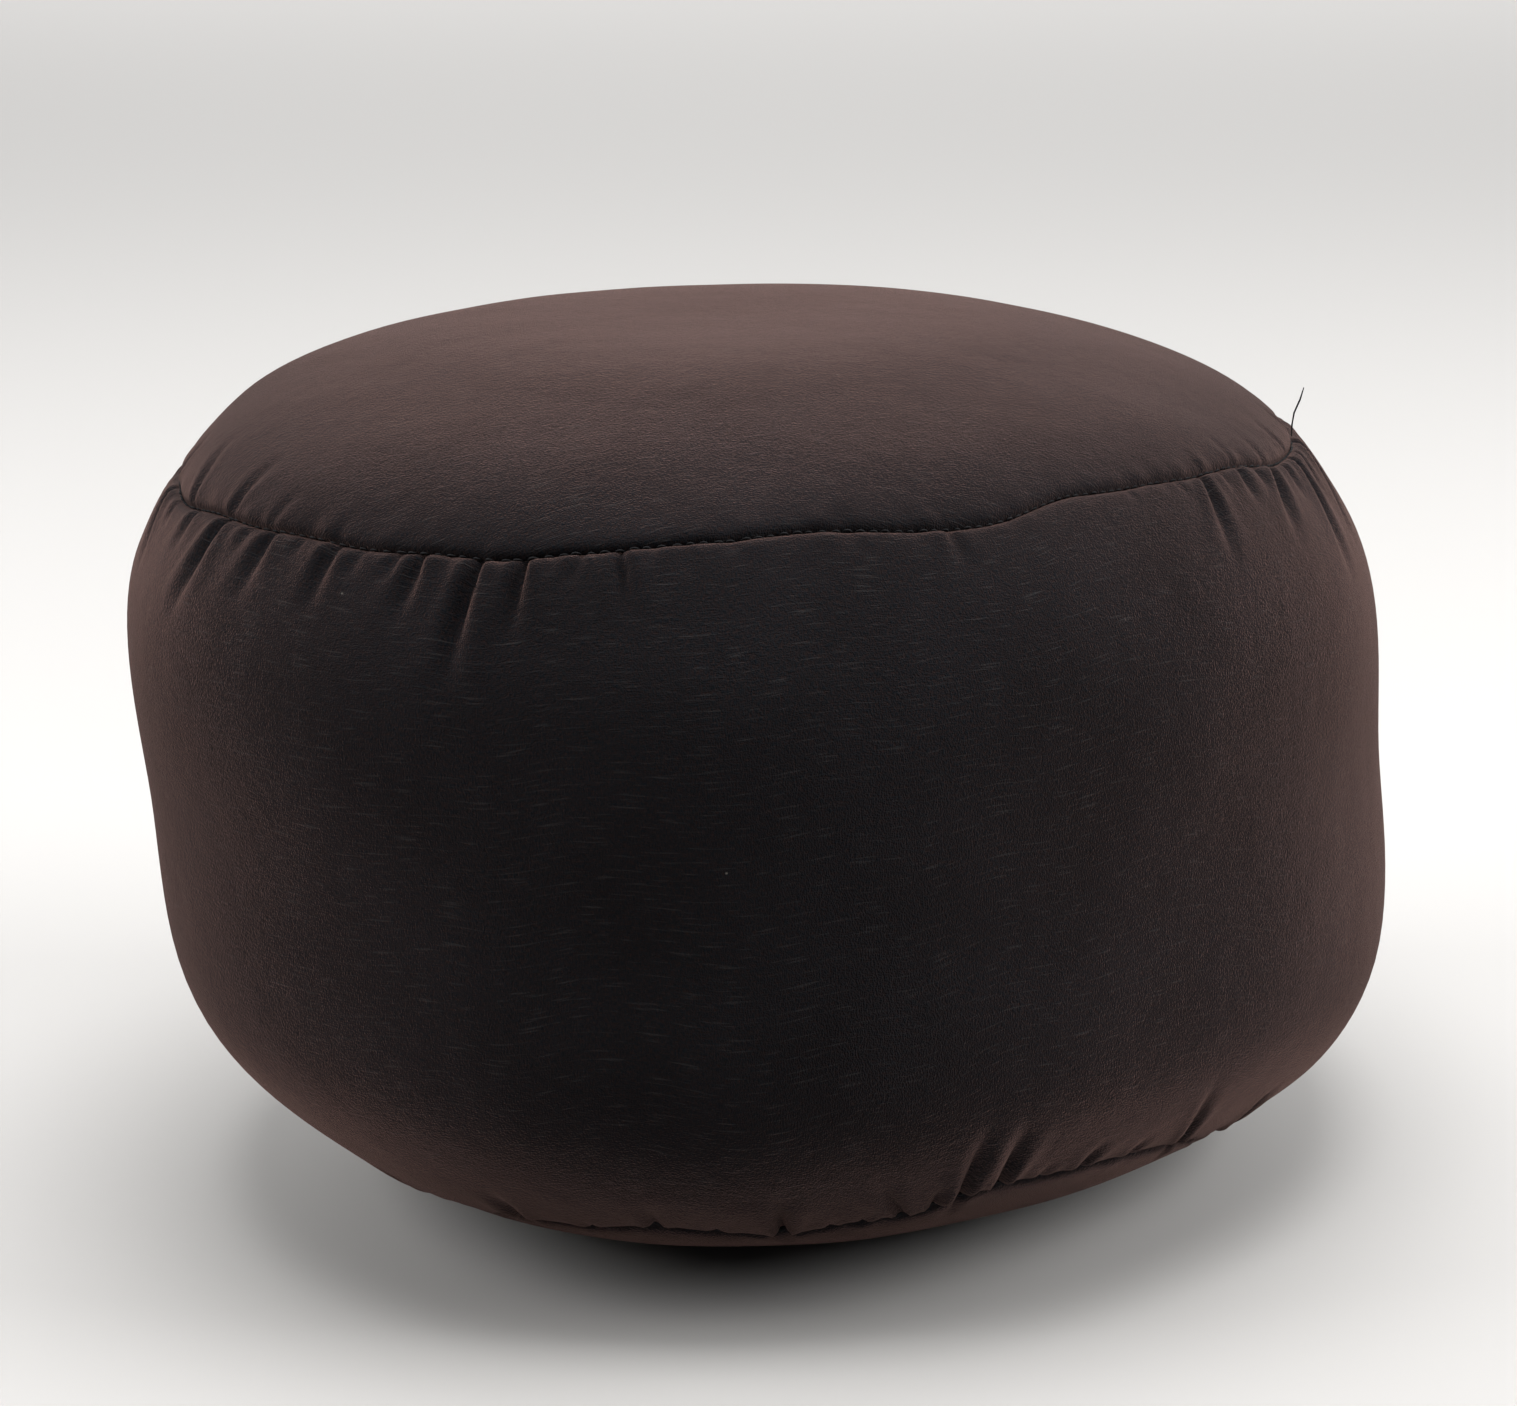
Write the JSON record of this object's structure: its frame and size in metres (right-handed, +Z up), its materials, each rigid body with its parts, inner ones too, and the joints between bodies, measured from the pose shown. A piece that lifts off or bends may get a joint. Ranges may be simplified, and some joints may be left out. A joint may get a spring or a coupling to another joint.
{
  "type": "zafu meditation cushion",
  "caption": "Round, firmly filled cotton floor cushion for sitting: a crowned top panel, a gathered side band and a bottom panel, dark brown.",
  "frame": {"origin": "the middle of the flat face that the cushion rests on", "axes": "+Z up through the crown, -Y towards the front, +X to the right as seen from the front"},
  "size_m": [0.3174, 0.313, 0.2122],
  "materials": {
    "band_cloth": "plain woven cotton, brown and slate threads mixed, matt with a faint nap",
    "panel_cloth": "plain woven cotton, brown and slate threads mixed, matt with a faint nap"
  },
  "bodies": {
    "root": {"side_band": "band_cloth", "top_panel": "panel_cloth", "bottom_panel": "panel_cloth"}
  },
  "joints": []
}
